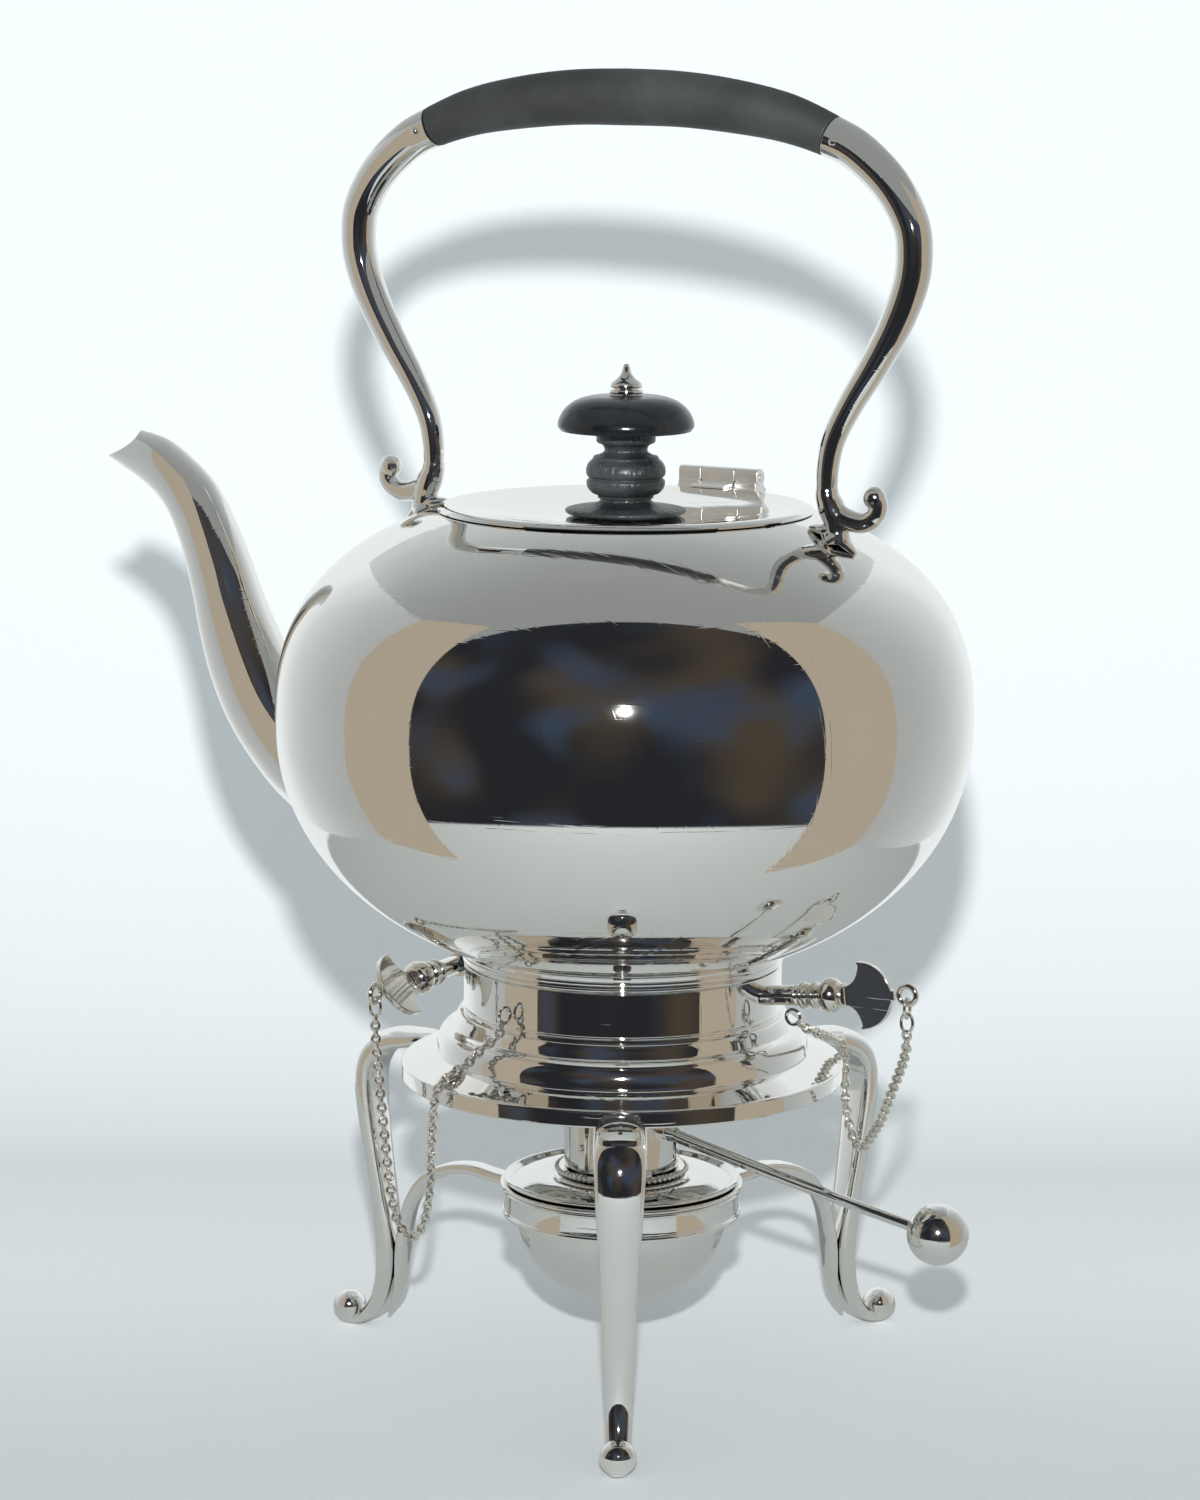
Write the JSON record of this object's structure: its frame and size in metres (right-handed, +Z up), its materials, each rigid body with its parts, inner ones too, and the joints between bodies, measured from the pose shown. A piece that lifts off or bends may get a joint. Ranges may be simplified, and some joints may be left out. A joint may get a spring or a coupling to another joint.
{
  "type": "spirit kettle on stand",
  "caption": "Polished silver spirit kettle with arched handle and dark grip, tilting on a tripod stand with pull pins on chains over a spirit lamp.",
  "frame": {"origin": "centre of the bounding box at the floor", "axes": "+Z up; the spout points to -X, the arched handle lies over the X axis and the lid opens about its hinge on the +Y side"},
  "size_m": [0.2632, 0.18, 0.3408],
  "materials": {
    "kettle_silver": "polished silver, mirror bright",
    "stand_silver": "polished silver",
    "lamp_silver": "polished silver, slightly warmer",
    "pin_silver": "polished silver, slightly worn",
    "gloss_ebony": "black, turned and polished",
    "matt_grip": "dark charcoal, satin",
    "cotton_wick": "woven cotton"
  },
  "bodies": {
    "stand": {"stand_plate": "stand_silver", "stand_collar": "stand_silver", "leg_spout": "stand_silver", "leg_front": "stand_silver", "leg_rear": "stand_silver", "lamp_arm_spout": "stand_silver", "lamp_arm_front": "stand_silver", "lamp_arm_rear": "stand_silver", "lamp_ring": "stand_silver", "hinge_lug_front": "stand_silver", "hinge_lug_rear": "stand_silver", "hinge_sleeve": "stand_silver", "lock_sleeve": "stand_silver", "hinge_chain_eye": "stand_silver", "lock_chain_eye": "stand_silver", "hinge_pin_chain": "pin_silver", "lock_pin_chain": "pin_silver"},
    "kettle": {"kettle_body": "kettle_silver", "kettle_foot": "kettle_silver", "kettle_lock_tab": "kettle_silver", "kettle_knuckle": "kettle_silver", "spout": "kettle_silver", "handle_arm_spout": "kettle_silver", "handle_arm_rear": "kettle_silver", "handle_foot_spout": "kettle_silver", "handle_foot_rear": "kettle_silver", "handle_grip": "matt_grip", "grip_rivet_spout": "kettle_silver", "grip_rivet_rear": "kettle_silver", "lid_hinge_bracket": "kettle_silver", "lid_hinge_pin": "kettle_silver"},
    "lid": {"lid": "kettle_silver", "lid_bezel": "kettle_silver", "lid_hinge_leaf": "kettle_silver", "knob_base": "gloss_ebony", "knob_body": "gloss_ebony", "knob_cap": "gloss_ebony", "knob_finial": "kettle_silver", "knob_bolt": "kettle_silver", "knob_nut": "kettle_silver"},
    "hinge_pin": {"hinge_pin": "pin_silver", "hinge_pin_crescent": "pin_silver", "hinge_pin_eye": "pin_silver", "hinge_pin_link_1": "pin_silver"},
    "lock_pin": {"lock_pin": "pin_silver", "lock_pin_crescent": "pin_silver", "lock_pin_eye": "pin_silver", "lock_pin_link_1": "pin_silver", "lock_pin_link_2": "pin_silver"},
    "lamp": {"lamp_font": "lamp_silver", "lamp_shoulder": "lamp_silver", "burner_gallery": "lamp_silver", "burner_tube": "lamp_silver", "burner_wick": "cotton_wick"},
    "regulator": {"regulator_sleeve": "lamp_silver", "regulator_strip": "lamp_silver", "regulator_screw": "lamp_silver", "lever_rod": "lamp_silver", "lever_ball": "lamp_silver"}
  },
  "joints": [
    {"name": "kettle_tilt", "type": "hinge", "parent": "stand", "child": "kettle", "pos_m": [-0.01678, 0, 0.1057], "axis": [0, -1, 0], "range_deg": [0, 45]},
    {"name": "lid_hinge", "type": "hinge", "parent": "kettle", "child": "lid", "pos_m": [0.02982, 0.05258, 0.23293], "axis": [-1, 0, 0], "range_deg": [0, 100]},
    {"name": "hinge_pin_pull", "type": "slide", "parent": "stand", "child": "hinge_pin", "axis": [0, -1, 0], "range_m": [0, 0.034]},
    {"name": "lock_pin_pull", "type": "slide", "parent": "stand", "child": "lock_pin", "axis": [0.9934, 0, 0.1149], "range_m": [0, 0.012]},
    {"name": "lamp_lift", "type": "slide", "parent": "stand", "child": "lamp", "axis": [0, 0, 1], "range_m": [0, 0.01]},
    {"name": "lever_turn", "type": "hinge", "parent": "lamp", "child": "regulator", "pos_m": [0.02982, 0, 0.0567], "axis": [0, 0, 1], "range_deg": [-30, 20]}
  ]
}
